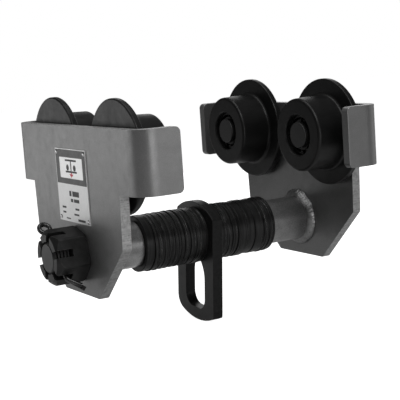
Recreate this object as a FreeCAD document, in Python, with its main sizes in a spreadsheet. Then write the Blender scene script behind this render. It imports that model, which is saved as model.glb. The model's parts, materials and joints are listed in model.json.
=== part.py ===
import FreeCAD, Part
import Sketcher
import math
import os
from FreeCAD import Vector, Rotation, Placement

# Push trolley for an I-beam.  Millimetres, +Z up.
# X runs along the load shaft, from the plate with the castle nut (-X, "name side")
# to the plate with the shaft head (+X, "far side").  Y runs along the beam.
# Origin: midway between the plates and between the axles, at the height where the
# wheel treads stand on the beam flange.

doc = FreeCAD.newDocument("beam_trolley")

# ---------------------------------------------------------------- dimensions
SIZES = [
    # side plates
    ("plate_gap", 336.0), ("plate_thick", 12.5), ("band_length", 367.5),
    ("band_top", 87.5), ("band_low", 9.0), ("wing_depth", 58.3), ("bend_outer", 28.0),
    ("notch_half", 130.0), ("waist_half", 127.0), ("waist_low", -59.0),
    ("foot_half", 51.5), ("foot_low", -130.0), ("corner_round", 5.0), ("wing_round", 7.0),
    # load shaft, collars, spacers
    ("shaft_high", -77.0), ("shaft_rad", 21.0), ("shaft_hole", 21.15),
    ("shaft_end", 225.5), ("shaft_tip", 18.0), ("head_rad", 29.0), ("head_thick", 12.0),
    ("thread_pitch", 4.5), ("thread_deep", 2.4),
    ("collar_rad", 30.8), ("collar_bore", 21.6), ("collar_end", 100.7), ("weld_rad", 39.6), ("weld_leg", 9.0),
    ("spacer_rad", 38.0), ("spacer_bore", 22.0), ("spacer_thick", 12.0), ("spacer_thin", 3.0),
    # castle nut and cotter pin
    ("nut_flats", 65.0), ("nut_tall", 45.0), ("slot_wide", 9.5), ("slot_deep", 23.0),
    ("slot_angle", 45.0), ("cotter_at", 212.0), ("cotter_hole", 4.0), ("cotter_rad", 3.4),
    # hanger
    ("hanger_thick", 15.0), ("hanger_half", 47.8), ("hanger_top", 45.0), ("hanger_top_rad", 78.0),
    ("hanger_low", 121.3), ("hanger_low_rad", 100.0), ("hanger_seat", 21.08),
    ("hanger_round_rear", 20.0), ("hanger_round_front", 3.0),
    ("eye_half", 24.5), ("eye_low", 104.5), ("eye_round", 17.0), ("eye_high", 31.8),
    ("eye_shoulder", 37.0), ("eye_crown", 9.0), ("hanger_tilt", 6.5),
    # wheels
    ("axle_half", 90.5), ("axle_high", 50.0), ("wheel_gap", 5.2), ("flange_rad", 72.0), ("flange_thick", 8.9),
    ("tread_wide", 45.0), ("tread_root", 50.3), ("tread_front", 48.8), ("tread_round", 4.0), ("root_round", 4.0),
    ("hub_bore", 27.5), ("hub_mouth", 28.7), ("hub_cavity", 25.0), ("clip_at", 6.0), ("clip_groove", 28.9),
    # axles and bearings
    ("journal_rad", 17.5), ("shoulder_rad", 21.0), ("spigot_rad", 12.0), ("spigot_deep", 8.0), ("axle_weld", 4.0),
    ("ring_wide", 10.0), ("ball_rad", 2.75), ("ball_pitch", 22.5), ("inner_land", 20.6), ("outer_land", 24.4),
    # name plate
    ("label_left", 48.0), ("label_right", -44.0), ("label_top", 58.0), ("label_low", -37.0), ("label_thick", 1.2),
    ("rivet_inset", 4.5), ("rivet_shank", 1.6), ("rivet_head", 3.0),
]
sheet = doc.addObject("Spreadsheet::Sheet", "Sizes")
for row, (alias, value) in enumerate(SIZES, start=1):
    sheet.set("A%d" % row, alias)
    sheet.set("B%d" % row, str(value))
    sheet.setAlias("B%d" % row, alias)
doc.recompute()


def S(expr):
    """Value of an expression in the sheet's aliases, worked out in a spare cell, so
    that the numbers that start a sketch are the ones its constraints are bound to."""
    sheet.set("D1", "=" + expr)
    sheet.recompute()
    v = sheet.get("D1")
    return float(v.Value if hasattr(v, "Value") else v)


def full(expr):
    """The same expression as another object has to write it."""
    out = expr
    for alias in sorted((a for a, _ in SIZES), key=len, reverse=True):
        out = replace_word(out, alias, "Sizes." + alias)
    return out


def replace_word(text, word, new):
    out, i = "", 0
    while i < len(text):
        j = text.find(word, i)
        if j < 0:
            return out + text[i:]
        before = text[j - 1] if j else " "
        after = text[j + len(word)] if j + len(word) < len(text) else " "
        if before.isalnum() or before in "_." or after.isalnum() or after == "_":
            out += text[i:j + len(word)]
        else:
            out += text[i:j] + new
        i = j + len(word)
    return out


def bind(obj, prop, expr):
    obj.setExpression(prop, full(expr))


PARTS = []


def keep(obj, node):
    obj.Label = node
    PARTS.append((node, obj))
    return obj


# ---------------------------------------------------------------- sketch helpers
def origin_plane(body, role):
    return [f for f in body.Origin.OriginFeatures if f.Role == role][0]


def polygon(body, plane, name, points, offset=None):
    """A closed polygon whose every corner is bound to the sheet."""
    sk = body.newObject("Sketcher::SketchObject", name)
    sk.AttachmentSupport = [(origin_plane(body, plane), "")]
    sk.MapMode = "FlatFace"
    if offset:
        bind(sk, "AttachmentOffset.Base.z", offset)
    xy = [(S(a), S(b)) for a, b in points]
    n = len(xy)
    for i in range(n):
        a, b = xy[i], xy[(i + 1) % n]
        sk.addGeometry(Part.LineSegment(Vector(a[0], a[1], 0), Vector(b[0], b[1], 0)), False)
    for i in range(n):
        sk.addConstraint(Sketcher.Constraint("Coincident", i, 2, (i + 1) % n, 1))
    for i, (ex, ey) in enumerate(points):
        k = sk.addConstraint(Sketcher.Constraint("DistanceX", -1, 1, i, 1, xy[i][0]))
        bind(sk, "Constraints[%d]" % k, ex)
        k = sk.addConstraint(Sketcher.Constraint("DistanceY", -1, 1, i, 1, xy[i][1]))
        bind(sk, "Constraints[%d]" % k, ey)
    return sk


def circle(body, plane, name, cx, cy, rad, offset=None):
    sk = body.newObject("Sketcher::SketchObject", name)
    sk.AttachmentSupport = [(origin_plane(body, plane), "")]
    sk.MapMode = "FlatFace"
    if offset:
        bind(sk, "AttachmentOffset.Base.z", offset)
    sk.addGeometry(Part.Circle(Vector(S(cx), S(cy), 0), Vector(0, 0, 1), S(rad)), False)
    k = sk.addConstraint(Sketcher.Constraint("DistanceX", -1, 1, 0, 3, S(cx)))
    bind(sk, "Constraints[%d]" % k, cx)
    k = sk.addConstraint(Sketcher.Constraint("DistanceY", -1, 1, 0, 3, S(cy)))
    bind(sk, "Constraints[%d]" % k, cy)
    k = sk.addConstraint(Sketcher.Constraint("Radius", 0, S(rad)))
    bind(sk, "Constraints[%d]" % k, rad)
    return sk


def pad(body, sk, length, name, back=False):
    f = body.newObject("PartDesign::Pad", name)
    f.Profile = sk
    bind(f, "Length", length)
    f.Reversed = back
    doc.recompute()
    return f


def pocket(body, sk, length, name, back=False):
    before = body.Shape.Volume
    f = body.newObject("PartDesign::Pocket", name)
    f.Profile = sk
    bind(f, "Length", length)
    f.Reversed = back
    doc.recompute()
    if not body.Shape.Volume < before - 1.0:
        raise RuntimeError("%s cuts nothing" % name)
    return f


def round_edges(body, radius, name, pick):
    """Fillet on the edges that pick() accepts; pick gets the edge."""
    tip = body.Tip
    names = ["Edge%d" % (i + 1) for i, e in enumerate(tip.Shape.Edges) if pick(e)]
    if not names:
        raise RuntimeError("%s found no edge" % name)
    f = body.newObject("PartDesign::Fillet", name)
    f.Base = (tip, names)
    bind(f, "Radius", radius)
    doc.recompute()
    return f


def lathe(node, profile, place=None, turn=0.0):
    """A piece turned about its own X axis; profile is (x, radius) corners."""
    body = doc.addObject("PartDesign::Body", "B_" + node)
    sk = polygon(body, "XZ_Plane", "Profile_" + node, profile)
    rev = body.newObject("PartDesign::Revolution", "Turn_" + node)
    rev.Profile = sk
    rev.ReferenceAxis = (sk, ["H_Axis"])
    rev.Angle = 360.0
    doc.recompute()
    if place:
        set_place(body, place, turn)
    return keep(body, node)


def set_place(obj, place, turn=0.0):
    obj.Placement = Placement(Vector(0, 0, 0), Rotation(Vector(0, 0, 1), turn))
    for axis, expr in zip("xyz", place):
        bind(obj, "Placement.Base." + axis, expr)
    doc.recompute()


def tube(node, start, end, outer, inner, high="shaft_high", across="0"):
    """A plain ring along X, from two primitives."""
    a = doc.addObject("Part::Cylinder", "Outer_" + node)
    b = doc.addObject("Part::Cylinder", "Bore_" + node)
    for c, r, extra in ((a, outer, "0"), (b, inner, "1")):
        bind(c, "Radius", r)
        bind(c, "Height", "%s - (%s) + 2 * %s" % (end, start, extra))
        c.Placement = Placement(Vector(0, 0, 0), Rotation(Vector(0, 1, 0), 90))
        bind(c, "Placement.Base.x", "%s - %s" % (start, extra))
        bind(c, "Placement.Base.y", across)
        bind(c, "Placement.Base.z", high)
    cut = doc.addObject("Part::Cut", "Ring_" + node)
    cut.Base, cut.Tool = a, b
    doc.recompute()
    return keep(cut, node)


def near(a, b, tol=0.05):
    return abs(a - b) < tol


def straight(e):
    return e.Curve.TypeId == "Part::GeomLine"


def along(e, axis):
    d = e.Vertexes[-1].Point - e.Vertexes[0].Point
    return straight(e) and abs(getattr(d, axis)) > 0.999 * d.Length


# ---------------------------------------------------------------- side plates
def side_plate(node, side):
    """Bent plate: a band with both ends turned in, a waist and a narrow foot."""
    sgn = "-1" if side < 0 else "1"
    xo = "%s * (plate_gap / 2 + plate_thick)" % sgn
    xi = "%s * plate_gap / 2" % sgn
    xw = "%s * (plate_gap / 2 + plate_thick - wing_depth)" % sgn
    ye, yi = "band_length / 2", "(band_length / 2 - plate_thick)"
    body = doc.addObject("PartDesign::Body", "B_" + node)
    sk = polygon(body, "XY_Plane", "Band_" + node, [
        (xo, "0 - " + ye), (xo, ye), (xw, ye), (xw, yi),
        (xi, yi), (xi, "0 - " + yi), (xw, "0 - " + yi), (xw, "0 - " + ye)], "band_low")
    pad(body, sk, "band_top - band_low", "BandPad_" + node)
    X, XI, Y, YI = S(xo), S(xi), S(ye), S(yi)
    round_edges(body, "bend_outer", "BendOut_" + node,
                lambda e: along(e, "z") and near(e.CenterOfMass.x, X) and near(abs(e.CenterOfMass.y), Y))
    round_edges(body, "bend_outer - plate_thick", "BendIn_" + node,
                lambda e: along(e, "z") and near(e.CenterOfMass.x, XI) and near(abs(e.CenterOfMass.y), YI))
    xw_v = S(xw)
    round_edges(body, "wing_round", "WingRound_" + node,
                lambda e: along(e, "y") and near(e.CenterOfMass.x, xw_v))
    low = polygon(body, "YZ_Plane", "Waist_" + node, [
        ("notch_half", "band_low + 6"), ("notch_half", "band_low"), ("waist_half", "waist_low"),
        ("foot_half", "foot_low"), ("0 - foot_half", "foot_low"), ("0 - waist_half", "waist_low"),
        ("0 - notch_half", "band_low"), ("0 - notch_half", "band_low + 6")],
        xo if side < 0 else xi)
    pad(body, low, "plate_thick", "WaistPad_" + node)
    wl, fl, wh, fh = S("waist_low"), S("foot_low"), S("waist_half"), S("foot_half")
    round_edges(body, "corner_round", "Corners_" + node,
                lambda e: along(e, "x") and ((near(e.CenterOfMass.z, wl) and near(abs(e.CenterOfMass.y), wh))
                                             or (near(e.CenterOfMass.z, fl) and near(abs(e.CenterOfMass.y), fh))))
    face = xi if side < 0 else xo
    hole = circle(body, "YZ_Plane", "ShaftHole_" + node, "0", "shaft_high", "shaft_hole", face)
    pocket(body, hole, "plate_thick", "ShaftBore_" + node)
    for tag, y in (("a", "axle_half"), ("b", "0 - axle_half")):
        seat = circle(body, "YZ_Plane", "AxleSeat_%s_%s" % (tag, node), y, "axle_high", "spigot_rad + 0.05", xi)
        pocket(body, seat, "spigot_deep + 0.1", "AxlePocket_%s_%s" % (tag, node), back=side > 0)
    if side < 0:
        for k, (y, z) in enumerate(rivet_spots()):
            pin = circle(body, "YZ_Plane", "RivetHole_%d" % k, y, z, "rivet_shank + 0.05", xo)
            pocket(body, pin, "7", "RivetPocket_%d" % k, back=True)
    return keep(body, node)


def rivet_spots():
    return [(y, z) for y in ("label_left - rivet_inset", "label_right + rivet_inset")
            for z in ("label_top - rivet_inset", "label_low + rivet_inset")]


side_plate("name_side_plate", -1)
side_plate("far_side_plate", 1)

# ---------------------------------------------------------------- collars and their welds
tube("name_side_collar", "0 - plate_gap / 2", "0 - collar_end", "collar_rad", "collar_bore")
tube("far_side_collar", "collar_end", "plate_gap / 2", "collar_rad", "collar_bore")
for node, place, turn in (("name_collar_weld", ("0 - plate_gap / 2", "0", "shaft_high"), 0),
                          ("far_collar_weld", ("plate_gap / 2", "0", "shaft_high"), 180)):
    lathe(node, [("0.02", "collar_rad + 0.02"), ("0.02", "weld_rad"), ("weld_leg * 0.35", "weld_rad - 0.8"),
                 ("weld_leg * 0.75", "collar_rad + (weld_rad - collar_rad) * 0.5"),
                 ("weld_leg", "collar_rad + 0.02")], place, turn)

# ---------------------------------------------------------------- load shaft
# headed at the far end, threaded at the other with ring grooves of the thread's pitch
n_thread = int((S("nut_tall") - 5.0) / S("thread_pitch"))
profile = [("plate_gap / 2 + plate_thick + 0.1 + head_thick", "0"),
           ("plate_gap / 2 + plate_thick + 0.1 + head_thick", "head_rad - 2"),
           ("plate_gap / 2 + plate_thick - 1.9 + head_thick", "head_rad"),
           ("plate_gap / 2 + plate_thick + 0.1", "head_rad"),
           ("plate_gap / 2 + plate_thick + 0.1", "shaft_rad")]
for i in range(n_thread, 0, -1):
    at = "0 - shaft_end + (shaft_rad - shaft_tip) + thread_pitch * %d" % (i - 1)
    profile += [(at + " + thread_pitch * 0.75 + 0.15", "shaft_rad"),
                (at + " + thread_pitch * 0.5", "shaft_rad - thread_deep"),
                (at + " + thread_pitch * 0.25", "shaft_rad")]
profile += [("0 - shaft_end + (shaft_rad - shaft_tip)", "shaft_rad"), ("0 - shaft_end", "shaft_tip"),
            ("0 - shaft_end", "0")]
body = doc.addObject("PartDesign::Body", "B_load_shaft")
sk = polygon(body, "XZ_Plane", "Profile_load_shaft", profile)
rev = body.newObject("PartDesign::Revolution", "Turn_load_shaft")
rev.Profile = sk
rev.ReferenceAxis = (sk, ["H_Axis"])
rev.Angle = 360.0
doc.recompute()
set_place(body, ("0", "0", "shaft_high"))
drill = doc.addObject("Part::Cylinder", "CotterDrill")
bind(drill, "Radius", "cotter_hole")
drill.Height = 60.0
# the hole runs through the axis, at the nut's slot angle from +Y towards +Z
ang = math.radians(S("slot_angle"))
pin_dir = Vector(0, math.cos(ang), math.sin(ang))
drill.Placement = Placement(Vector(-S("cotter_at"), 0, S("shaft_high")) - pin_dir * 30.0,
                            Rotation(Vector(0, 0, 1), pin_dir))
shaft = doc.addObject("Part::Cut", "Shaft_drilled")
shaft.Base, shaft.Tool = body, drill
doc.recompute()
keep(shaft, "load_shaft")

# ---------------------------------------------------------------- castle nut
hexa = doc.addObject("Part::Prism", "NutHex")
hexa.Polygon = 6
bind(hexa, "Circumradius", "nut_flats / 2 / cos(30 deg)")
bind(hexa, "Height", "nut_tall")
bar = doc.addObject("Part::Cylinder", "NutTurned")
bind(bar, "Radius", "nut_flats / 2 / cos(30 deg) - 1")
bind(bar, "Height", "nut_tall")
blank = doc.addObject("Part::Common", "NutBlank")
blank.Base, blank.Tool = hexa, bar
cone = doc.addObject("Part::Cone", "NutBevel")
bind(cone, "Radius1", "nut_flats / 2 - 2.2")
bind(cone, "Radius2", "nut_flats / 2 - 2.2 + nut_tall")
bind(cone, "Height", "nut_tall")
tip_cut = doc.addObject("Part::Common", "NutTipBevelled")
tip_cut.Base, tip_cut.Tool = blank, cone
# the seat end is turned down to a circle
seat_cone = doc.addObject("Part::Cone", "NutSeatBevel")
bind(seat_cone, "Radius1", "nut_flats / 2 + 1.8 + nut_tall")
bind(seat_cone, "Radius2", "nut_flats / 2 + 1.8")
bind(seat_cone, "Height", "nut_tall")
bevelled = doc.addObject("Part::Common", "NutBevelled")
bevelled.Base, bevelled.Tool = tip_cut, seat_cone
bore = doc.addObject("Part::Cylinder", "NutBore")
bind(bore, "Radius", "shaft_rad + 0.05")
bind(bore, "Height", "nut_tall + 2")
bore.Placement = Placement(Vector(0, 0, -1), Rotation())
tools = [bore]
for k in range(3):
    box = doc.addObject("Part::Box", "NutSlot%d" % k)
    bind(box, "Length", "nut_flats * 2")
    bind(box, "Width", "slot_wide")
    bind(box, "Height", "slot_deep + 1")
    r = Rotation(Vector(0, 0, 1), 30 + 60 * k)
    box.Placement = Placement(r.multVec(Vector(-S("nut_flats"), -S("slot_wide") / 2, 0)) + Vector(0, 0, -1), r)
    tools.append(box)
cutters = doc.addObject("Part::MultiFuse", "NutCutters")
cutters.Shapes = tools
nut = doc.addObject("Part::Cut", "NutFinished")
nut.Base, nut.Tool = bevelled, cutters
# local +Z becomes +X, with the slotted end outward; flats (and slots) at slot_angle + 60 n
turn_in = Rotation(Vector(0, 1, 0), 90)
spin = Rotation(Vector(0, 0, 1), S("slot_angle") - 30.0 + 90.0)
nut.Placement = Placement(Vector(0, 0, 0), turn_in.multiply(spin))
bind(nut, "Placement.Base.x", "0 - plate_gap / 2 - plate_thick - 0.1 - nut_tall")
bind(nut, "Placement.Base.z", "shaft_high")
doc.recompute()
keep(nut, "castle_nut")

# ---------------------------------------------------------------- cotter pin
# two half-round legs side by side through the shaft, an eye at one end, and the
# ends bent back along the nut


def cotter():
    r = S("cotter_rad")
    c = Vector(-S("cotter_at"), 0, S("shaft_high"))
    d = pin_dir
    x = Vector(1, 0, 0)
    legs = []
    for sgn, bend, tail, lean in ((1, 5.0, 25.0, 43.0), (-1, 9.0, 16.0, 50.0)):
        start = c + d * 39.0
        knee = c - d * (S("nut_flats") / 2 + 2.5 + (0.0 if sgn > 0 else 1.5))
        out = x * math.sin(math.radians(lean)) - d * math.cos(math.radians(lean))
        out.normalize()
        half = math.acos(max(-1, min(1, (-d).dot(out)))) / 2
        cut = bend * math.tan(half)
        p1, p2 = knee + d * cut, knee + out * cut
        centre = knee + ((out - (-d)).normalize() * (bend / math.cos(half)))
        mid = centre + (knee - centre).normalize() * bend
        end = knee + out * (cut + tail)
        path = Part.Wire([Part.LineSegment(start, p1).toShape(), Part.Arc(p1, mid, p2).toShape(),
                          Part.LineSegment(p2, end).toShape()])
        # half-round section, flat side against its twin; the split lies across X
        side = d.cross(x).normalize()
        off = side * (0.08 * sgn)
        a, b, m = start + off + x * r, start + off - x * r, start + off + side * (r * sgn)
        sec = Part.Wire([Part.Arc(a, m, b).toShape(), Part.LineSegment(b, a).toShape()])
        legs.append(path.makePipeShell([sec], True, False))
    ring = Part.makeTorus(7.0, r * 0.92, c + d * 46.4, d.cross(x), 0, 360, 360)
    neck = Part.makeCylinder(r * 1.0, 3.5, c + d * 37.2, d)
    return legs[0].fuse([legs[1], ring, neck]).removeSplitter()


pin = doc.addObject("Part::Feature", "CotterPin")
pin.Shape = cotter()
keep(pin, "cotter_pin")

# ---------------------------------------------------------------- hanger
body = doc.addObject("PartDesign::Body", "B_hanger")
sk = body.newObject("Sketcher::SketchObject", "Outline_hanger")
sk.AttachmentSupport = [(origin_plane(body, "YZ_Plane"), "")]
sk.MapMode = "FlatFace"
bind(sk, "AttachmentOffset.Base.z", "0 - hanger_thick / 2")
HW, HT, RT, HL, RL = (S(k) for k in ("hanger_half", "hanger_top", "hanger_top_rad", "hanger_low", "hanger_low_rad"))
zt = HT - RT + math.sqrt(RT ** 2 - HW ** 2)
zl = -HL + RL - math.sqrt(RL ** 2 - HW ** 2)
at, al = math.asin(HW / RT), math.asin(HW / RL)
sk.addGeometry(Part.ArcOfCircle(Part.Circle(Vector(0, HT - RT, 0), Vector(0, 0, 1), RT), math.pi / 2 - at, math.pi / 2 + at), False)
sk.addGeometry(Part.LineSegment(Vector(-HW, zt, 0), Vector(-HW, zl, 0)), False)
sk.addGeometry(Part.ArcOfCircle(Part.Circle(Vector(0, -HL + RL, 0), Vector(0, 0, 1), RL), 1.5 * math.pi - al, 1.5 * math.pi + al), False)
sk.addGeometry(Part.LineSegment(Vector(HW, zl, 0), Vector(HW, zt, 0)), False)
for a, b in (((0, 2), (1, 1)), ((1, 2), (2, 1)), ((2, 2), (3, 1)), ((3, 2), (0, 1))):
    sk.addConstraint(Sketcher.Constraint("Coincident", a[0], a[1], b[0], b[1]))
sk.addConstraint(Sketcher.Constraint("Vertical", 1))
sk.addConstraint(Sketcher.Constraint("Vertical", 3))
for geo in (0, 2):
    sk.addConstraint(Sketcher.Constraint("PointOnObject", geo, 3, -2))
for args, expr in ((("DistanceX", 1, 1, -1, 1, HW), "hanger_half"), (("DistanceX", -1, 1, 3, 1, HW), "hanger_half"),
                   (("Radius", 0, RT), "hanger_top_rad"), (("Radius", 2, RL), "hanger_low_rad"),
                   (("DistanceY", -1, 1, 0, 3, HT - RT), "hanger_top - hanger_top_rad"),
                   (("DistanceY", -1, 1, 2, 3, RL - HL), "hanger_low_rad - hanger_low")):
    k = sk.addConstraint(Sketcher.Constraint(*args))
    bind(sk, "Constraints[%d]" % k, expr)
pad(body, sk, "hanger_thick", "Pad_hanger")
# the lifting eye stands apart from the shaft hole; its shoulders close in on a long curve
eye = polygon(body, "YZ_Plane", "Eye_hanger", [
    ("0 - eye_half + 12.6", "0 - eye_high"), ("0 - eye_half + 6.6", "0 - eye_high - 5.4"),
    ("0 - eye_half", "0 - eye_high - 20.1"), ("0 - eye_half", "0 - eye_low"),
    ("eye_half", "0 - eye_low"), ("eye_half", "0 - eye_high - 20.1"),
    ("eye_half - 6.6", "0 - eye_high - 5.4"), ("eye_half - 12.6", "0 - eye_high")], "hanger_thick / 2")
pocket(body, eye, "hanger_thick", "EyePocket_hanger")


def corner(y, z):
    """Edges through the plate's thickness at this half width and height."""
    return lambda e: along(e, "x") and near(e.CenterOfMass.z, z) and near(abs(e.CenterOfMass.y), y)


el, eh, et = -S("eye_low"), S("eye_half"), -S("eye_high")
round_edges(body, "eye_round", "EyeRound_hanger", corner(eh, el))
round_edges(body, "eye_shoulder", "EyeShoulder_hanger", corner(eh, et - 20.1))
round_edges(body, "eye_shoulder", "EyeNeck_hanger", corner(eh - 6.6, et - 5.4))
round_edges(body, "eye_crown", "EyeCrown_hanger", corner(eh - 12.6, et))
# the lower corner on the rear side is rounded far more than the front one
round_edges(body, "hanger_round_rear", "LowRoundRear_hanger",
            lambda e: corner(HW, zl)(e) and e.CenterOfMass.y > 0)
round_edges(body, "hanger_round_front", "LowRoundFront_hanger",
            lambda e: corner(HW, zl)(e) and e.CenterOfMass.y < 0)
seat = circle(body, "YZ_Plane", "Seat_hanger", "0", "0", "hanger_seat", "hanger_thick / 2")
pocket(body, seat, "hanger_thick", "SeatPocket_hanger")
body.Placement = Placement(Vector(0, 0, 0), Rotation(Vector(1, 0, 0), S("hanger_tilt")))
bind(body, "Placement.Base.z", "shaft_high")
doc.recompute()
keep(body, "hanger")

# ---------------------------------------------------------------- spacers
# loose washers: each sits a little off centre, by less than its play on the shaft


def washers(node, label, stack, start, want):
    """The washers of one thickness out of a stack that begins at X = start."""
    solids, x = [], start
    z0, ro, ri = S("shaft_high"), S("spacer_rad"), S("spacer_bore")
    for i, th in enumerate(stack):
        if th == want:
            a = 2.399 * i + 0.7 * label
            rim = ro - 0.35 * ((i * 7 + label) % 3) / 2.0
            base = Vector(x + 0.01, 0.55 * math.cos(a), z0 + 0.55 * math.sin(a) - 0.3)
            w = Part.makeCylinder(rim, th - 0.02, base, Vector(1, 0, 0))
            w = w.makeChamfer(0.8 if th > 6 else 0.35,
                              [e for e in w.Edges if e.Curve.TypeId == "Part::GeomCircle"])
            w = w.cut(Part.makeCylinder(ri, th + 2, base - Vector(1, 0, 0), Vector(1, 0, 0)))
            solids.append(w.Solids[0])
        x += th
    f = doc.addObject("Part::Feature", "Washers_" + node)
    f.Shape = Part.makeCompound(solids) if len(solids) > 1 else solids[0]
    keep(f, node)


T, N = S("spacer_thick"), S("spacer_thin")
near_stack = [T] + [N] * 27
far_stack = [T] + [N] * 8 + [T] * 3 + [N] * 7
near_start = -S("hanger_thick") / 2 - 0.05 - sum(near_stack)
far_start = S("hanger_thick") / 2 + 0.05
washers("name_side_thick_spacer", 1, near_stack, near_start, T)
washers("name_side_thin_spacers", 2, near_stack, near_start, N)
washers("far_side_thick_spacers", 3, far_stack, far_start, T)
washers("far_side_thin_spacers", 4, far_stack, far_start, N)

# ---------------------------------------------------------------- wheels, axles, bearings
FRONT = "wheel_gap + flange_thick + tread_wide"      # wheel's front, from the plate's inner face


def wheel_set(name, side, end, lug_angle):
    sgn = "1 * " if side > 0 else "-1 * "
    y = "axle_half" if end > 0 else "0 - axle_half"
    turn = 180 if side > 0 else 0
    at_plate = ("%s(plate_gap / 2)" % sgn, y, "axle_high")
    g, f, w = "wheel_gap", "wheel_gap + flange_thick", FRONT
    # wheel: flange next to the plate, tread towards the beam, bored from the front
    wheel = lathe(name + "_wheel", [
        (g, "hub_cavity"), (g, "flange_rad"), (f, "flange_rad"), (f, "tread_root"),
        (w, "tread_front"), (w, "hub_mouth"), (w + " - (hub_mouth - hub_bore)", "hub_bore"),
        (w + " - clip_at", "hub_bore"), (w + " - clip_at", "clip_groove"),
        (w + " - clip_at - 2", "clip_groove"), (w + " - clip_at - 2", "hub_bore"),
        (w + " - clip_at - 2 - 2 * ring_wide", "hub_bore"),
        (w + " - clip_at - 2 - 2 * ring_wide", "hub_cavity")], at_plate, turn)
    fr, tf, W, F = S("flange_rad"), S("tread_front"), S(w), S(f)
    place = wheel.Placement
    wheel.Placement = Placement()
    round_edges(wheel, "2", "Rim_" + name,
                lambda e: e.Curve.TypeId == "Part::GeomCircle" and near(e.Curve.Radius, fr) and len(e.Vertexes) == 1)
    round_edges(wheel, "tread_round", "Nose_" + name,
                lambda e: e.Curve.TypeId == "Part::GeomCircle" and near(e.Curve.Radius, tf) and near(e.Curve.Center.x, W))
    tr = S("tread_root")
    round_edges(wheel, "root_round", "Root_" + name,
                lambda e: e.Curve.TypeId == "Part::GeomCircle" and near(e.Curve.Radius, tr) and near(e.Curve.Center.x, F))
    set_place(wheel, at_plate, turn)
    # stub axle: spigot into the plate, shoulder, journal with a circlip groove at its end
    lathe(name + "_axle", [
        ("0 - spigot_deep", "0"), ("0 - spigot_deep", "spigot_rad"), ("0.0", "spigot_rad"), ("0.0", "shoulder_rad"),
        (w + " - clip_at - 2 - 2 * ring_wide", "shoulder_rad"), (w + " - clip_at - 2 - 2 * ring_wide", "journal_rad"),
        (w + " - clip_at - 2", "journal_rad"), (w + " - clip_at - 2", "journal_rad - 0.9"),
        (w + " - clip_at - 0.4", "journal_rad - 0.9"), (w + " - clip_at - 0.4", "journal_rad"),
        (w + " - 1", "journal_rad"), (w, "journal_rad - 1"), (w, "0")], at_plate, turn)
    lathe(name + "_axle_weld", [("0.02", "shoulder_rad + 0.02"), ("0.02", "shoulder_rad + axle_weld"),
                                ("axle_weld", "shoulder_rad + 0.02")], at_plate, turn)
    # two ball bearings side by side, rings and balls
    back = S(w) - S("clip_at") - 2 - 2 * S("ring_wide")
    rw, bp, br = S("ring_wide"), S("ball_pitch"), S("ball_rad")
    where = Placement(Vector(side * S("plate_gap") / 2, end * S("axle_half"), S("axle_high")),
                      Rotation(Vector(0, 0, 1), turn))
    ex = Vector(1, 0, 0)

    def rings(node, lo, hi):
        out = []
        for k in range(2):
            a = Vector(back + k * rw + 0.02, 0, 0)
            r = Part.makeCylinder(hi, rw - 0.04, a, ex).cut(Part.makeCylinder(lo, rw + 2, a - ex, ex))
            r = r.cut(Part.makeTorus(bp, br + 0.06, Vector(back + (k + 0.5) * rw, 0, 0), ex))
            out.append(r.Solids[0])
        feat = doc.addObject("Part::Feature", "R_" + node)
        feat.Shape = Part.makeCompound(out)
        feat.Placement = where
        keep(feat, node)

    rings(name + "_bearing_outer_rings", S("outer_land"), S("hub_bore") - 0.02)
    rings(name + "_bearing_inner_rings", S("journal_rad") + 0.02, S("inner_land"))
    balls = []
    for k in range(2):
        for i in range(12):
            a = 2 * math.pi * (i + 0.5 * k) / 12
            balls.append(Part.makeSphere(br, Vector(back + (k + 0.5) * rw, bp * math.cos(a), bp * math.sin(a))))
    feat = doc.addObject("Part::Feature", "Balls_" + name)
    feat.Shape = Part.makeCompound(balls)
    feat.Placement = where
    keep(feat, name + "_bearing_balls")
    # bore circlip with two drilled lugs, and the closing shield behind it
    c0 = S(w) - S("clip_at") - 1.95
    la = math.radians(lug_angle)
    clip = Part.makeCylinder(S("clip_groove") - 0.1, 1.9, Vector(c0, 0, 0), ex)
    clip = clip.cut(Part.makeCylinder(23.6, 4, Vector(c0 - 1, 0, 0), ex))
    gap = Part.makeBox(4, 40, 7.0, Vector(c0 - 1, 0, -3.5))
    gap.rotate(Vector(0, 0, 0), ex, lug_angle)
    clip = clip.cut(gap)
    for s in (-1, 1):
        a = la + s * 0.262
        centre = Vector(c0, 24.0 * math.cos(a), 24.0 * math.sin(a))
        lug = Part.makeCylinder(2.9, 1.9, centre, ex).cut(
            Part.makeCylinder(1.2, 4, centre - ex, ex))
        clip = clip.cut(Part.makeCylinder(1.2, 4, centre - ex, ex)).fuse(lug)
    clip = clip.removeSplitter()
    feat = doc.addObject("Part::Feature", "Clip_" + name)
    feat.Shape = clip.Solids[0]
    feat.Placement = where
    keep(feat, name + "_bore_circlip")
    # axle circlip
    ext = Part.makeCylinder(20.0, 1.5, Vector(c0 + 0.02, 0, 0), ex)
    ext = ext.cut(Part.makeCylinder(S("journal_rad") - 0.85, 4, Vector(c0 - 1, 0, 0), ex))
    gap = Part.makeBox(4, 40, 6.0, Vector(c0 - 1, 0, -3.0))
    gap.rotate(Vector(0, 0, 0), ex, lug_angle + 150)
    feat = doc.addObject("Part::Feature", "AxleClip_" + name)
    feat.Shape = ext.cut(gap).Solids[0]
    feat.Placement = where
    keep(feat, name + "_axle_circlip")


wheel_set("name_side_front", -1, -1, 75)
wheel_set("name_side_rear", -1, 1, 200)
wheel_set("far_side_front", 1, -1, 285)
wheel_set("far_side_rear", 1, 1, 255)

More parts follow.
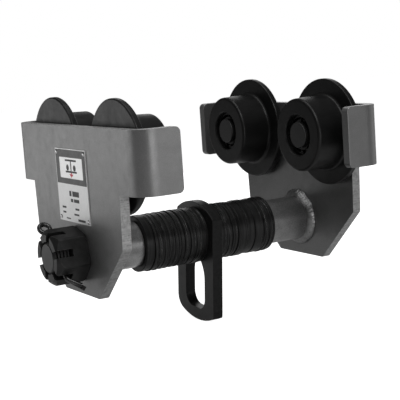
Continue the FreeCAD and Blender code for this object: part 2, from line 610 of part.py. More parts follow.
# ---------------------------------------------------------------- name plate
card = doc.addObject("Part::Box", "LabelSheet")
bind(card, "Length", "label_thick")
bind(card, "Width", "label_left - label_right")
bind(card, "Height", "label_top - label_low")
bind(card, "Placement.Base.x", "0 - plate_gap / 2 - plate_thick - label_thick")
bind(card, "Placement.Base.y", "label_right")
bind(card, "Placement.Base.z", "label_low")
doc.recompute()
drills = []
for k, (y, z) in enumerate(rivet_spots()):
    c = doc.addObject("Part::Cylinder", "LabelDrill%d" % k)
    bind(c, "Radius", "rivet_shank + 0.05")
    c.Height = 6.0
    c.Placement = Placement(Vector(0, 0, 0), Rotation(Vector(0, 1, 0), 90))
    bind(c, "Placement.Base.x", "0 - plate_gap / 2 - plate_thick - 4")
    bind(c, "Placement.Base.y", y)
    bind(c, "Placement.Base.z", z)
    drills.append(c)
holes = doc.addObject("Part::MultiFuse", "LabelDrills")
holes.Shapes = drills
label = doc.addObject("Part::Cut", "LabelDrilled")
label.Base, label.Tool = card, holes
doc.recompute()
keep(label, "name_plate")
rivets = []
xf = -S("plate_gap") / 2 - S("plate_thick") - S("label_thick")
for y, z in rivet_spots():
    c = Vector(xf, S(y), S(z))
    shank = Part.makeCylinder(S("rivet_shank"), 6.5 + S("label_thick"), c, Vector(1, 0, 0))
    hr, hh = S("rivet_head"), 1.6
    rad = (hr * hr + hh * hh) / (2 * hh)
    dome = Part.makeSphere(rad, c + Vector(rad - hh, 0, 0)).common(
        Part.makeBox(hh + 1, 10, 10, c + Vector(-hh - 1, -5, -5)))
    rivets.append(shank.fuse(dome).removeSplitter().Solids[0])
feat = doc.addObject("Part::Feature", "Rivets")
feat.Shape = Part.makeCompound(rivets)
keep(feat, "name_plate_rivets")

# ---------------------------------------------------------------- checks and files
sheet.set("D1", "0")
doc.recompute()
bad = [o.Name for o in doc.Objects if any(s in ("Invalid", "Error") for s in o.State)]
if bad:
    raise RuntimeError("failed objects: %s" % bad)
os.makedirs("parts", exist_ok=True)
total = 0.0
for node, obj in PARTS:
    shape = obj.Shape
    if shape.isNull() or not shape.isValid() or not shape.Solids:
        raise RuntimeError("bad shape: %s" % node)
    total += shape.Volume
    shape.exportStep("parts/%s.step" % node)
    bb = shape.BoundBox
    print("%-34s solids %2d  vol %9.1f  x %7.1f %7.1f  y %7.1f %7.1f  z %7.1f %7.1f" % (
        node, len(shape.Solids), shape.Volume, bb.XMin, bb.XMax, bb.YMin, bb.YMax, bb.ZMin, bb.ZMax))
print("nodes", len(PARTS), "volume", round(total))
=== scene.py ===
"""Visual model of the beam trolley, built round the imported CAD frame."""

import json
import math

import bmesh
import bpy
from mathutils import Matrix, Vector, noise

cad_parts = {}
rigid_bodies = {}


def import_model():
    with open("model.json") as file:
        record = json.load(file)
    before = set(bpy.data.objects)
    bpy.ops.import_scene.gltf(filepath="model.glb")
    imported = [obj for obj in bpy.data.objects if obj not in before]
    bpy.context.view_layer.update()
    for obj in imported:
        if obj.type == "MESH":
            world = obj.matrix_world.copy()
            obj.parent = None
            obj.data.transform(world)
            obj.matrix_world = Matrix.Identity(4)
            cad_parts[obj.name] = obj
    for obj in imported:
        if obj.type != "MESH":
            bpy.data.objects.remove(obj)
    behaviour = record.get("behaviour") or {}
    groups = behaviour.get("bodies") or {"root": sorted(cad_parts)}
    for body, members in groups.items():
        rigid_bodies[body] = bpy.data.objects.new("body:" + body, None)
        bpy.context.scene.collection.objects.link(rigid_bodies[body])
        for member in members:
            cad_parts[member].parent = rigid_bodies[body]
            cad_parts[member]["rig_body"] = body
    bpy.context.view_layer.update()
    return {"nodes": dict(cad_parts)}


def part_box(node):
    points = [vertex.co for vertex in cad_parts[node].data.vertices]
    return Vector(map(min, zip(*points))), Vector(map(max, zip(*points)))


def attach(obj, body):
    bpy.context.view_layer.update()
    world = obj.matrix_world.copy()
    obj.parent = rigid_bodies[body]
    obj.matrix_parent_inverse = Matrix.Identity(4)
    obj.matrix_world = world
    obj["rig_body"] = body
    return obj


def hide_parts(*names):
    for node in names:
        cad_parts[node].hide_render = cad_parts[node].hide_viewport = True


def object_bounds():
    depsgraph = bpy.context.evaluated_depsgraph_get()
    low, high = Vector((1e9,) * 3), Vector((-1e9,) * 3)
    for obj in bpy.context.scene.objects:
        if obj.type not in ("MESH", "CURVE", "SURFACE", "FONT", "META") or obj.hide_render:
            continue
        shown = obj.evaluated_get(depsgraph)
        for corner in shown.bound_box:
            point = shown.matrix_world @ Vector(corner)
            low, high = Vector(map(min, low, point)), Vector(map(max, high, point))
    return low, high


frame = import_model()

NODES = frame["nodes"]
SETS = ["name_side_front", "name_side_rear", "far_side_front", "far_side_rear"]
TAU = 2 * math.pi
MM = 0.001

# How far the arrises of each kind of piece are rounded.
NAME_SIDE_EASE, FAR_SIDE_EASE = 1.3 * MM, 0.9 * MM
COLLAR_EASE, HANGER_EASE = 1.0 * MM, 1.0 * MM
WHEEL_EASE = 0.8 * MM
NUT_EASE, AXLE_EASE, SHAFT_EASE = 0.6 * MM, 0.6 * MM, 0.5 * MM
LABEL_EASE = 0.25 * MM
WASHER_EASE = 0.22 * MM
WIRE_EASE = 0.15 * MM

# Just under the bent wings of a side plate. Below it the faces that look along Y are
# cut edges; above it they are the rolled faces of the wings.
WING_LOW_Z = 8.8 * MM

# Facets this close to one plane are merged, and edges this sharp are rounded.
COPLANAR, ARRIS = math.radians(0.6), math.radians(32)

# Weld beads: the pipe or axle that they go round, and the spacing of their ripples.
COLLAR_RADIUS, AXLE_WELD_RADIUS = 30.8 * MM, 21 * MM
COLLAR_PITCH, AXLE_PITCH = 4.2 * MM, 3.2 * MM


# ---------------------------------------------------------------- materials


class Paint:
    """A Principled material whose colour, roughness and bump come from nodes."""

    def __init__(self, name, metallic=0.0, specular=0.5):
        self.mat = bpy.data.materials.new(name)
        self.mat.use_nodes = True
        self.tree = self.mat.node_tree
        self.bsdf = self.tree.nodes["Principled BSDF"]
        self.set("Metallic", metallic)
        self.set("Specular IOR Level", specular)
        self.coords = self.tree.nodes.new("ShaderNodeTexCoord").outputs["Object"]

    def set(self, socket, value):
        self.bsdf.inputs[socket].default_value = value

    def link(self, source, target):
        self.tree.links.new(source, target)

    def node(self, kind, **settings):
        made = self.tree.nodes.new(kind)
        for key, value in settings.items():
            setattr(made, key, value)
        return made

    def stretched(self, scale):
        """Object coordinates scaled by axis: a small scale draws the pattern out."""
        mapping = self.node("ShaderNodeMapping")
        self.link(self.coords, mapping.inputs["Vector"])
        mapping.inputs["Scale"].default_value = scale
        return mapping.outputs["Vector"]

    def noise(self, size, detail=3.0, rough=0.55, coords=None):
        """Noise with features about size metres across."""
        made = self.node("ShaderNodeTexNoise")
        self.link(coords or self.coords, made.inputs["Vector"])
        made.inputs["Scale"].default_value = 1 / size
        made.inputs["Detail"].default_value = detail
        made.inputs["Roughness"].default_value = rough
        return made.outputs["Fac"]

    def ramp(self, fac, stops):
        """Colours between stops of (position, colour)."""
        made = self.node("ShaderNodeValToRGB")
        self.link(fac, made.inputs["Fac"])
        elements = made.color_ramp.elements
        while len(elements) < len(stops):
            elements.new(0.5)
        for element, (at, colour) in zip(elements, stops):
            element.position = at
            element.color = (*colour, 1)
        return made.outputs["Color"]

    def range(self, fac, low, high, start=0.3, end=0.7):
        """Maps start..end, the useful spread of a noise, to low..high."""
        made = self.node("ShaderNodeMapRange")
        self.link(fac, made.inputs["Value"])
        for key, value in zip(
            ("From Min", "From Max", "To Min", "To Max"), (start, end, low, high)
        ):
            made.inputs[key].default_value = value
        return made.outputs["Result"]

    def mix(self, fac, a, b):
        made = self.node("ShaderNodeMix", data_type="RGBA")
        self.link(fac, made.inputs["Factor"])
        for socket, value in ((made.inputs[6], a), (made.inputs[7], b)):
            if isinstance(value, tuple):
                socket.default_value = (*value, 1)
            else:
                self.link(value, socket)
        return made.outputs[2]

    def bump(self, height, strength, depth, under=None):
        """A bump depth metres high, over another one's normal if that is given."""
        made = self.node("ShaderNodeBump")
        self.link(height, made.inputs["Height"])
        made.inputs["Strength"].default_value = strength
        made.inputs["Distance"].default_value = depth
        if under:
            self.link(under, made.inputs["Normal"])
        return made.outputs["Normal"]

    def edges(self, radius):
        """1 on corners, 0 on flats: how far a rounded normal leaves the true one."""
        rounded = self.node("ShaderNodeBevel", samples=6)
        rounded.inputs["Radius"].default_value = radius
        true = self.node("ShaderNodeNewGeometry").outputs["Normal"]
        dot = self.node("ShaderNodeVectorMath", operation="DOT_PRODUCT")
        self.link(rounded.outputs["Normal"], dot.inputs[0])
        self.link(true, dot.inputs[1])
        sharp, flat = 0.86, 0.995
        return self.range(dot.outputs["Value"], 1.0, 0.0, sharp, flat)

    def times(self, a, b):
        made = self.node("ShaderNodeMath", operation="MULTIPLY")
        self.link(a, made.inputs[0])
        self.link(b, made.inputs[1])
        return made.outputs[0]

    def rubbed(self, radius, patches, most):
        """Where wear shows: along corners, and only in patches."""
        return self.times(self.edges(radius), self.range(patches, 0.0, most, 0.42, 0.6))

    def finish(self, colour=None, roughness=None, normal=None):
        for socket, value in (
            ("Base Color", colour),
            ("Roughness", roughness),
            ("Normal", normal),
        ):
            if value is not None:
                self.link(value, self.bsdf.inputs[socket])
        return self.mat


def grey(value, tint=(1.0, 1.0, 1.0)):
    return tuple(value * t for t in tint)


def painted(
    name, low, high, roughness, peel, worn, grain=35 * MM, metallic=0.0, specular=0.5
):
    """Sprayed paint: cloudiness, speckle and orange peel, rubbed along arrises.

    worn is the tone of the rubbed paint, the most of it that shows, and how far from
    an arris it reaches.
    """
    p = Paint(name, metallic=metallic, specular=specular)
    cloud = p.noise(grain, 4.0, 0.6)
    speckle = p.noise(0.9 * MM, 2.0, 0.5)
    base = p.ramp(cloud, [(0.3, grey(low)), (0.7, grey(high))])
    fleck = p.ramp(speckle, [(0.42, grey(low * 0.86)), (0.6, grey(high * 1.14))])
    amount = p.range(speckle, 0.15, 0.45)
    colour = p.mix(amount, base, fleck)
    bare, most, radius = worn
    rubbed = p.rubbed(radius, p.noise(6 * MM, 4.0, 0.65), most)
    colour = p.mix(rubbed, colour, grey(bare))
    rough = p.range(p.noise(12 * MM, 3.0), roughness - 0.05, roughness + 0.06)
    normal = p.bump(p.noise(peel, 2.0, 0.5), 0.10, 0.4 * MM)
    normal = p.bump(speckle, 0.05, 0.2 * MM, normal)
    return p.finish(colour, rough, normal)


def flame_cut(name, low, high, metallic=0.5, roughness=0.45, specular=0.4):
    """A cut plate edge under paint: drag lines across the thickness, and mottling."""
    p = Paint(name, metallic=metallic, specular=specular)
    blotch = p.noise(4.2 * MM, 5.0, 0.7)
    drag = p.noise(1.6 * MM, 2.0, 0.5, p.stretched((0.12, 1.0, 1.0)))
    colour = p.mix(
        p.range(drag, 0.0, 0.6),
        p.ramp(blotch, [(0.3, grey(low)), (0.72, grey(high))]),
        grey(high * 1.12),
    )
    rough = p.range(blotch, roughness - 0.10, roughness + 0.10)
    normal = p.bump(drag, 0.35, 0.5 * MM)
    normal = p.bump(blotch, 0.25, 0.6 * MM, normal)
    return p.finish(colour, rough, normal)


def dark_steel(name, low, high, bare, roughness, metallic=0.6):
    """Blackened steel that has rubbed bright along its edges."""
    wear, radius = 0.5, 0.8 * MM
    p = Paint(name, metallic=metallic, specular=0.35)
    cloud = p.noise(14 * MM, 4.0, 0.6)
    scuff = p.noise(3.5 * MM, 5.0, 0.7)
    base = p.ramp(cloud, [(0.3, grey(low)), (0.72, grey(high))])
    colour = p.mix(p.rubbed(radius, scuff, wear), base, grey(bare))
    rough = p.range(scuff, roughness - 0.08, roughness + 0.08)
    normal = p.bump(p.noise(1.2 * MM, 3.0), 0.15, 0.3 * MM)
    return p.finish(colour, rough, normal)


def washer_steel(name, low, high, bare, roughness):
    """Blackened washers: each a little different, with rubbed arcs on their rims."""
    p = Paint(name, metallic=0.6, specular=0.35)
    by_washer = p.noise(2.2 * MM, 2.0, 0.6, p.stretched((1.0, 0.035, 0.035)))
    along_arc = p.noise(10 * MM, 4.0, 0.7)
    base = p.ramp(by_washer, [(0.36, grey(low)), (0.64, grey(high))])
    arcs = p.times(
        p.range(by_washer, 0.0, 1.0, 0.50, 0.60),
        p.range(along_arc, 0.15, 1.0, 0.42, 0.58),
    )
    colour = p.mix(p.times(p.edges(0.6 * MM), arcs), base, grey(bare))
    rough = p.range(along_arc, roughness - 0.08, roughness + 0.08)
    scratches = p.noise(0.7 * MM, 3.0, 0.6, p.stretched((1.0, 0.05, 0.05)))
    normal = p.bump(scratches, 0.22, 0.3 * MM)
    return p.finish(colour, rough, normal)


def machined(name, low, high, roughness, metallic=1.0, lines=0.6 * MM):
    """Turned steel: fine rings round X, under a little oil."""
    p = Paint(name, metallic=metallic, specular=0.5)
    cloud = p.noise(10 * MM, 3.0)
    turned = p.noise(lines, 1.0, 0.4, p.stretched((1.0, 0.02, 0.02)))
    colour = p.ramp(cloud, [(0.3, grey(low)), (0.7, grey(high))])
    rough = p.range(cloud, roughness - 0.05, roughness + 0.08)
    normal = p.bump(turned, 0.06, 0.2 * MM)
    return p.finish(colour, rough, normal)


def weld_metal(name, low, high):
    """Weld bead under thin paint, rough, with glints painted into its colour on its upper
    front.
    """
    p = Paint(name, metallic=0.6, specular=0.5)
    tone = p.noise(6 * MM, 4.0, 0.6)
    split = p.node("ShaderNodeSeparateXYZ")
    p.link(p.coords, split.inputs[0])
    # Painted highlight: the upper front quarter of a collar's bead and all of a front
    # axle's get bright flecks in their colour as glints, over real spatter bumps.
    painted_glint_zone = p.times(
        p.range(split.outputs["Z"], 0.0, 1.0, -74 * MM, -54 * MM),
        p.range(split.outputs["Y"], 1.0, 0.0, -12 * MM, 4 * MM),
    )
    spatter_and_glint = p.times(painted_glint_zone, p.noise(1.1 * MM, 4.0, 0.7))
    base = p.ramp(tone, [(0.3, grey(low)), (0.7, grey(high))])
    # Painted glints: near-white flecks mixed into the colour inside the glint zone.
    colour = p.mix(p.range(spatter_and_glint, 0.0, 0.9, 0.36, 0.56), base, grey(0.92))
    rough = p.range(p.noise(3 * MM, 3.0), 0.26, 0.40)
    normal = p.bump(p.noise(2.2 * MM, 3.0), 0.12, 0.4 * MM)
    normal = p.bump(spatter_and_glint, 0.8, 1 * MM, normal)
    return p.finish(colour, rough, normal)


def printed(name, value, tint=(1.0, 1.0, 1.0)):
    """Bare or inked aluminium of the name plate, with a fine screen grain."""
    roughness = 0.38
    p = Paint(name, metallic=0.65, specular=0.45)
    grain = p.noise(0.7 * MM, 2.0)
    colour = p.ramp(
        grain, [(0.3, grey(value * 0.93, tint)), (0.7, grey(value * 1.04, tint))]
    )
    rough = p.range(p.noise(6 * MM, 2.0), roughness - 0.05, roughness + 0.06)
    return p.finish(colour, rough, p.bump(grain, 0.04, 0.1 * MM))


# Tones are given from dark to light, then the tone where steel rubs bright, then the
# roughness. A paint's next number is the size of its orange peel.
GREY_PAINT = painted(
    "grey_paint", 0.190, 0.235, 0.34, 1.4 * MM, (0.42, 0.7, 1.2 * MM), metallic=0.55
)
COLLAR = painted(
    "grey_paint_collar",
    0.110,
    0.310,
    0.33,
    1.4 * MM,
    (0.45, 0.8, 1.6 * MM),
    grain=45 * MM,
    metallic=0.65,
)
CUT_EDGE = flame_cut("grey_paint_cut_edge", 0.14, 0.55)
WELD = weld_metal("weld_bead", 0.20, 0.32)
SHAFT = machined("oiled_steel", 0.044, 0.068, 0.38, metallic=0.6)
AXLE = machined("oiled_steel_axle", 0.030, 0.046, 0.38, metallic=0.5)
BLACK_STEEL = dark_steel("black_steel", 0.021, 0.038, 0.18, 0.36)
SPACER = washer_steel("black_steel_spacer", 0.011, 0.030, 0.85, 0.36)
BLACK_PAINT = painted(
    "black_paint",
    0.008,
    0.013,
    0.36,
    1.6 * MM,
    (0.14, 0.8, 1.4 * MM),
    grain=50 * MM,
    specular=0.30,
)
BLACK_ENAMEL = painted(
    "black_enamel",
    0.005,
    0.009,
    0.38,
    2.2 * MM,
    (0.09, 0.8, 1.4 * MM),
    grain=50 * MM,
    specular=0.28,
)
BLACK_CUT = flame_cut(
    "black_paint_cut_edge", 0.003, 0.016, metallic=0.2, roughness=0.36, specular=0.18
)
PIN_STEEL = dark_steel("black_steel_pin", 0.020, 0.090, 0.40, 0.24, metallic=0.8)
BEARING = machined("bearing_steel", 0.018, 0.042, 0.30, lines=0.4 * MM)
SPRING = machined("spring_steel", 0.010, 0.024, 0.28, metallic=0.7)
LABEL = printed("label_plate", 0.78)
LABEL_DARK = printed("label_plate_dark", 0.075)
LABEL_WHITE = printed("label_plate_white", 0.95)
LABEL_INK = printed("label_plate_ink", 0.020)
LABEL_RED = printed("label_plate_red", 0.50, tint=(1.0, 0.12, 0.16))
RIVET = machined("bright_rivet", 0.62, 0.78, 0.22, lines=0.3 * MM)


# ---------------------------------------------------------------- pieces


def new_piece(name, mesh, body, slot, *materials, replaces=()):
    """An object for a mesh, riding on a body and finished with the given materials; slot
    is not used.
    """
    made = bpy.data.objects.new(name, mesh)
    bpy.context.scene.collection.objects.link(made)
    mesh.materials.clear()
    for material in materials:
        mesh.materials.append(material)
    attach(made, body)
    if replaces:
        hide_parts(*replaces)
    return made


def settle(piece):
    """Turns a piece's modifiers into plain mesh."""
    graph = bpy.context.evaluated_depsgraph_get()
    mesh = bpy.data.meshes.new_from_object(piece.evaluated_get(graph))
    piece.modifiers.clear()
    piece.data = mesh


def eased(node, width, slot, *materials, segments=2, pick=None):
    """A copy of a CAD node with its arrises rounded, standing for that node.

    pick gives the number of each face's material.
    """
    mesh = NODES[node].data.copy()
    mesh.name = node + "_eased"
    bm = bmesh.new()
    bm.from_mesh(mesh)
    bmesh.ops.remove_doubles(bm, verts=bm.verts, dist=1e-6)
    bmesh.ops.dissolve_limit(bm, angle_limit=COPLANAR, verts=bm.verts, edges=bm.edges)
    for face in bm.faces:
        face.smooth = True
    bm.to_mesh(mesh)
    bm.free()
    for name in [a.name for a in mesh.attributes if a.name.startswith("custom_normal")]:
        mesh.attributes.remove(mesh.attributes[name])
    body = NODES[node]["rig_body"]
    piece = new_piece(node + "_finish", mesh, body, slot, *materials, replaces=[node])
    if pick:
        for face in mesh.polygons:
            face.material_index = pick(face)
    bevel = piece.modifiers.new("ease", "BEVEL")
    bevel.width = width
    bevel.segments = segments
    bevel.limit_method = "ANGLE"
    bevel.angle_limit = ARRIS
    bevel.miter_outer = "MITER_ARC"
    bevel.harden_normals = False
    normals = piece.modifiers.new("normals", "WEIGHTED_NORMAL")
    normals.keep_sharp = True
    settle(piece)


def is_cut_edge(face):
    """1 on the flame-cut edges of a bent plate, 0 on its rolled faces."""
    if abs(face.normal.x) > 0.7:
        return 0
    if abs(face.normal.z) > 0.6:
        return 1
    return int(face.center.z < WING_LOW_Z)


def is_hanger_edge(face):
    """0 on the hanger's two flat sides, 1 all round its edge and in its eye."""
    return int(abs(face.normal.x) <= 0.7)


def carry(node, material):
    """Keeps a CAD node's own shape and gives it a material."""
    data = NODES[node].data
    data.materials.clear()
    data.materials.append(material)


def weld_ring(node, pitch, seed, pipe_radius):
    """A hand-laid fillet bead: overlapping ripples round a pipe or a pin.

    It takes a CAD ring's place, from the ring's outer edge on the plate to its tip on
    the pipe. seed makes it wander in its own way.
    """
    low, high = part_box(node)
    centre_y, centre_z = (low.y + high.y) / 2, (low.z + high.z) / 2
    outer = (high.y - low.y) / 2
    root_x, tip_x = (low.x, high.x) if abs(low.x) > abs(high.x) else (high.x, low.x)
    size = abs(tip_x - root_x)
    toward = 1 if tip_x > root_x else -1
    ripples = max(8, round(TAU * outer / pitch))
    steps = ripples * 10
    across = 12
    mesh = bpy.data.meshes.new(node + "_bead")
    bm = bmesh.new()
    rings = []
    for i in range(steps):
        theta = TAU * i / steps
        wobble = noise.noise(Vector((math.cos(theta), math.sin(theta), seed)) * 3.1)
        drift = noise.noise(Vector((math.cos(theta), math.sin(theta), seed + 7)) * 9.0)
        leg = 1 + 0.05 * wobble + 0.03 * drift
        ring = []
        for k in range(across + 1):
            s = k / across
            crown = 4 * s * (1 - s)
            # Each ripple is a blunt arch that trails behind at the middle of the bead.
            phase = (theta * ripples / TAU - 0.55 * crown + 0.12 * wobble) % 1.0
            ripple = (1 - (2 * phase - 1) ** 2) - 0.45 * phase
            lift = (0.20 * crown + 0.022 * ripple * (0.25 + crown)) * size * 0.7
            r = outer * leg * (1 - s) + pipe_radius * 0.995 * s + lift
            x = root_x + (tip_x - root_x) * leg * s + lift * toward
            ring.append((x, r))
        ring.append((root_x, pipe_radius * 0.98))
        rings.append(
            [
                bm.verts.new(
                    (x, centre_y + r * math.cos(theta), centre_z + r * math.sin(theta))
                )
                for x, r in ring
            ]
        )
    count = len(rings[0])
    for i in range(steps):
        a, b = rings[i], rings[(i + 1) % steps]
        for k in range(count):
            m = (k + 1) % count
            bm.faces.new((a[k], b[k], b[m], a[m]))
    bmesh.ops.recalc_face_normals(bm, faces=bm.faces)
    for face in bm.faces:
        face.smooth = True
    bm.to_mesh(mesh)
    bm.free()
    body = NODES[node]["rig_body"]
    new_piece(node + "_bead", mesh, body, "weld_bead", WELD, replaces=[node])


# Plates, collars and their welds.
for side, ease in (("name_side", NAME_SIDE_EASE), ("far_side", FAR_SIDE_EASE)):
    eased(
        side + "_plate",
        ease,
        "grey_paint",
        GREY_PAINT,
        CUT_EDGE,
        segments=3,
        pick=is_cut_edge,
    )
    eased(side + "_collar", COLLAR_EASE, "grey_paint", COLLAR)
for number, node in enumerate(("name_collar_weld", "far_collar_weld")):
    weld_ring(node, COLLAR_PITCH, number * 3.7, COLLAR_RADIUS)

# Shaft, nut, pin, hanger and spacers.
eased("load_shaft", SHAFT_EASE, "oiled_steel", SHAFT)
eased("castle_nut", NUT_EASE, "black_steel", BLACK_STEEL)
eased("cotter_pin", WIRE_EASE, "black_steel", PIN_STEEL)
eased(
    "hanger",
    HANGER_EASE,
    "black_paint",
    BLACK_PAINT,
    BLACK_CUT,
    segments=3,
    pick=is_hanger_edge,
)
for node in (
    "name_side_thick_spacer",
    "name_side_thin_spacers",
    "far_side_thick_spacers",
    "far_side_thin_spacers",
):
    eased(node, WASHER_EASE, "black_steel", SPACER)

# Wheels and what holds them.
for number, name in enumerate(SETS):
    eased(name + "_wheel", WHEEL_EASE, "black_enamel", BLACK_ENAMEL, segments=3)
    eased(name + "_axle", AXLE_EASE, "oiled_steel", AXLE)
    weld_ring(name + "_axle_weld", AXLE_PITCH, 11 + number * 2.3, AXLE_WELD_RADIUS)
    carry(name + "_bearing_outer_rings", BEARING)
    carry(name + "_bearing_inner_rings", BEARING)
    carry(name + "_bearing_balls", BEARING)
    eased(name + "_bore_circlip", WIRE_EASE, "spring_steel", SPRING)
    eased(name + "_axle_circlip", WIRE_EASE, "spring_steel", SPRING)

# Name plate: printed fields, and a pictogram of a beam and two wheels, laid on it as
# thin raised ink. Sizes are in millimetres on the plate's face, across (y) and up (z).
eased("name_plate", LABEL_EASE, "label_plate", LABEL)
carry("name_plate_rivets", RIVET)
FACE_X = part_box("name_plate")[0].x
SUNK = 0.02  # how far a printed layer reaches into what it lies on


def outline_box(y0, z0, y1, z1, corner=0.0, steps=5):
    """Corner points of a box with rounded corners, in order."""
    if not corner:
        return [(y0, z0), (y1, z0), (y1, z1), (y0, z1)]
    points = []
    for cy, cz, start in (
        (y1 - corner, z1 - corner, 0),
        (y0 + corner, z1 - corner, 1),
        (y0 + corner, z0 + corner, 2),
        (y1 - corner, z0 + corner, 3),
    ):
        for i in range(steps + 1):
            a = (start + i / steps) * math.pi / 2
            points.append((cy + corner * math.cos(a), cz + corner * math.sin(a)))
    return points


def outline_disc(y, z, radius, steps=40):
    """Corner points of a disc, in order."""
    return [
        (y + radius * math.cos(TAU * i / steps), z + radius * math.sin(TAU * i / steps))
        for i in range(steps)
    ]


def print_layer(name, outlines, base, thickness, material):
    """One printed layer: thin slabs with the given outlines, base above the face."""
    mesh = bpy.data.meshes.new(name)
    bm = bmesh.new()
    for outline in outlines:
        under, over = [
            [bm.verts.new((FACE_X - h * MM, y * MM, z * MM)) for y, z in outline]
            for h in (base - SUNK, base + thickness)
        ]
        bm.faces.new(under)
        bm.faces.new(list(reversed(over)))
        for i in range(len(outline)):
            j = (i + 1) % len(outline)
            bm.faces.new((under[i], over[i], over[j], under[j]))
    bmesh.ops.recalc_face_normals(bm, faces=bm.faces)
    bm.to_mesh(mesh)
    bm.free()
    new_piece(name, mesh, "frame", "label_plate", material)


FIELD, INK = 0.05, 0.04  # how thick a printed field and a line of ink are
print_layer(
    "name_plate_header", [outline_box(-43, 12.5, 47, 57)], 0, FIELD, LABEL_DARK
)
print_layer(
    "name_plate_window",
    [outline_box(-33.4, 20, 35.7, 47, 1.2)],
    FIELD,
    FIELD,
    LABEL_WHITE,
)
MIDDLE = 1.15  # the window's middle, across
print_layer(
    "name_plate_pictogram",
    [
        outline_box(MIDDLE - 17, 42.2, MIDDLE + 17, 44.6),
        outline_box(MIDDLE - 1.4, 30.0, MIDDLE + 1.4, 42.4),
        outline_box(MIDDLE - 17, 27.4, MIDDLE + 17, 29.8),
        outline_disc(MIDDLE - 10.5, 33.9, 4.0),
        outline_disc(MIDDLE + 10.5, 33.9, 4.0),
    ],
    2 * FIELD,
    INK,
    LABEL_INK,
)
print_layer(
    "name_plate_load_mark",
    [
        outline_box(MIDDLE - 1.6, 25.6, MIDDLE + 1.6, 27.4),
        [(MIDDLE - 6.0, 25.6), (MIDDLE + 6.0, 25.6), (MIDDLE, 21.2)],
    ],
    2 * FIELD,
    INK,
    LABEL_RED,
)
LINES = [  # plain bars: y from, y to, z from, z to
    (6.5, 13.0, -3.2, 3.6),
    (-16.5, 3.6, -3.2, 3.6),
    (2.6, 9.6, -10.8, -6.4),
    (-15.8, 0.4, -10.8, -6.4),
    (26.0, 38.0, -20.2, -17.6),
    (-14.0, -2.0, -20.6, -18.0),
    (27.5, 37.0, -26.6, -24.2),
    (-12.5, 2.5, -27.6, -25.2),
    (14.5, 27.5, -33.8, -32.2),
    (-30.5, -8.5, -34.6, -31.6),
]
print_layer(
    "name_plate_lines",
    [outline_box(y0, z0, y1, z1, 0.4) for y0, y1, z0, z1 in LINES],
    0,
    INK,
    LABEL_INK,
)


# ---------------------------------------------------------------- surroundings

FLOOR_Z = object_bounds()[0].z - 0.5 * MM
FLOOR_REACH = 6
# Floor and sky look brighter to the camera than they light the object.
FLOOR_AS_LIGHT, FLOOR_AS_SEEN = 0.12, 0.96
SKY_AS_LIGHT, SKY_AS_SEEN = 0.08, 1.0

floor_mesh = bpy.data.meshes.new("floor")
floor_mesh.from_pydata(
    [
        (x * FLOOR_REACH, y * FLOOR_REACH, FLOOR_Z)
        for x, y in ((-1, -1), (1, -1), (1, 1), (-1, 1))
    ],
    [],
    [(0, 1, 2, 3)],
)
floor = bpy.data.objects.new("floor", floor_mesh)
bpy.context.scene.collection.objects.link(floor)
floor_paint = Paint("floor", specular=0.2)
floor_mesh.materials.append(
    floor_paint.finish(
        floor_paint.ramp(
            floor_paint.noise(300 * MM), [(0.3, grey(0.68)), (0.7, grey(0.70))]
        ),
        floor_paint.range(floor_paint.noise(50 * MM), 0.75, 0.85),
    )
)
floor_paint.set("Emission Color", (1, 1, 1, 1))
floor_rays = floor_paint.node("ShaderNodeLightPath").outputs["Is Camera Ray"]
floor_paint.link(
    floor_paint.range(floor_rays, FLOOR_AS_LIGHT, FLOOR_AS_SEEN, 0.0, 1.0),
    floor_paint.bsdf.inputs["Emission Strength"],
)
floor.visible_diffuse = False


def area_light(name, power, size, place, aim, only):
    """A square soft panel, unseen itself, that lights all pieces or only some."""
    data = bpy.data.lights.new(name, "AREA")
    data.energy = power
    data.size = size
    light = bpy.data.objects.new(name, data)
    light.location = place
    light.visible_camera = False
    if only:
        light.light_linking.receiver_collection = only
    light.rotation_euler = (
        (Vector(aim) - Vector(place)).to_track_quat("-Z", "Y").to_euler()
    )
    bpy.context.scene.collection.objects.link(light)


def middle_x(piece):
    """The middle of a piece's box, along X."""
    across = [(piece.matrix_world @ Vector(c)).x for c in piece.bound_box]
    return (min(across) + max(across)) / 2


CENTRE = (0.0, 0.0, -0.03)
NAME_SIDE = (-0.18, 0.02, -0.01)
HALF_X = 20 * MM  # a piece whose middle is short of this is in the near half
# The left panels are flagged off the far half, which stands in the near half's lee.
near_half = bpy.data.collections.new("near_half")
for piece in bpy.context.scene.objects:
    if piece.type == "MESH" and piece is not floor and middle_x(piece) < HALF_X:
        near_half.objects.link(piece)
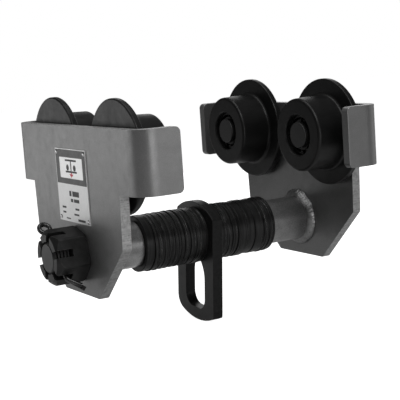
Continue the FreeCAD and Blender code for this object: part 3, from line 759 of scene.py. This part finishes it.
# A card low under the load shaft lifts the undersides of the two collars.
collars = bpy.data.collections.new("collars")
for side in ("name_side", "far_side"):
    collars.objects.link(bpy.data.objects[side + "_collar_finish"])
CARD_Z = FLOOR_Z + 12 * MM
for name, power, size, place, aim, only in (
    ("under", 0.10, 0.25, (0.04, 0.0, CARD_Z), (0.04, 0.0, 0.0), collars),
    ("left", 0.6, 0.45, (-1.15, 0.30, 0.10), NAME_SIDE, near_half),
    ("left_low", 0.5, 0.40, (-0.90, 0.50, -0.12), NAME_SIDE, near_half),
    ("left_rear", 0.40, 0.45, (-0.82, 0.74, 0.16), NAME_SIDE, near_half),
    ("rear_left", 0.62, 0.45, (-0.62, 1.05, 0.0), NAME_SIDE, near_half),
    ("rear_left_all", 0.05, 0.45, (-0.62, 1.05, 0.0), NAME_SIDE, None),
    ("front", 5.3, 0.8, (-0.22, -1.9, 0.10), CENTRE, None),
    ("front_right", 3.4, 0.9, (0.60, -1.8, -0.05), CENTRE, None),
    ("top_front", 11.0, 0.9, (-0.30, -0.9, 1.4), CENTRE, None),
    ("top", 6.5, 1.0, (0.0, 0.25, 1.7), CENTRE, None),
    ("right", 1.0, 0.8, (1.50, -0.20, 0.20), CENTRE, None),
    ("rear_right", 5.5, 1.3, (1.15, 1.15, 0.35), CENTRE, None),
):
    area_light(name, power, size, place, aim, only)

# The sky: one background as light, another as seen.
world = bpy.data.worlds.new("studio")
bpy.context.scene.world = world
world.use_nodes = True
tree = world.node_tree
shown = tree.nodes["Background"]
shown.inputs["Color"].default_value = (1, 1, 1, 1)
shown.inputs["Strength"].default_value = SKY_AS_SEEN
lighting = tree.nodes.new("ShaderNodeBackground")
lighting.inputs["Color"].default_value = (1, 1, 1, 1)
lighting.inputs["Strength"].default_value = SKY_AS_LIGHT
chooser = tree.nodes.new("ShaderNodeMixShader")
rays = tree.nodes.new("ShaderNodeLightPath")
tree.links.new(rays.outputs["Is Camera Ray"], chooser.inputs["Fac"])
tree.links.new(lighting.outputs[0], chooser.inputs[1])
tree.links.new(shown.outputs[0], chooser.inputs[2])
tree.links.new(chooser.outputs[0], tree.nodes["World Output"].inputs["Surface"])

bpy.context.scene.view_settings.view_transform = "Standard"

# Camera, from its bearing, height and roll about the load shaft's middle.
SHAFT_MIDDLE = Vector((0, 0, -77 * MM))
AZIMUTH, ELEVATION, ROLL = (math.radians(a) for a in (-30.265, 7.878, -3.962))
DISTANCE, SHIFT_RIGHT, SHIFT_UP = 1.55554, 0.001090, 0.045439
back = Vector(
    (
        math.sin(AZIMUTH) * math.cos(ELEVATION),
        -math.cos(AZIMUTH) * math.cos(ELEVATION),
        math.sin(ELEVATION),
    )
)
right = Vector((math.cos(AZIMUTH), math.sin(AZIMUTH), 0))
up = back.cross(right)
right, up = (
    math.cos(ROLL) * right + math.sin(ROLL) * up,
    math.cos(ROLL) * up - math.sin(ROLL) * right,
)
camera_data = bpy.data.cameras.new("camera")
camera_data.sensor_width = 36
camera_data.lens = 102.14
camera_data.clip_end = 50
camera = bpy.data.objects.new("camera", camera_data)
place = back * DISTANCE + right * SHIFT_RIGHT + up * SHIFT_UP + SHAFT_MIDDLE
camera.matrix_world = Matrix.Translation(place) @ Matrix(
    (right, up, back)
).transposed().to_4x4()
bpy.context.scene.collection.objects.link(camera)
bpy.context.scene.camera = camera
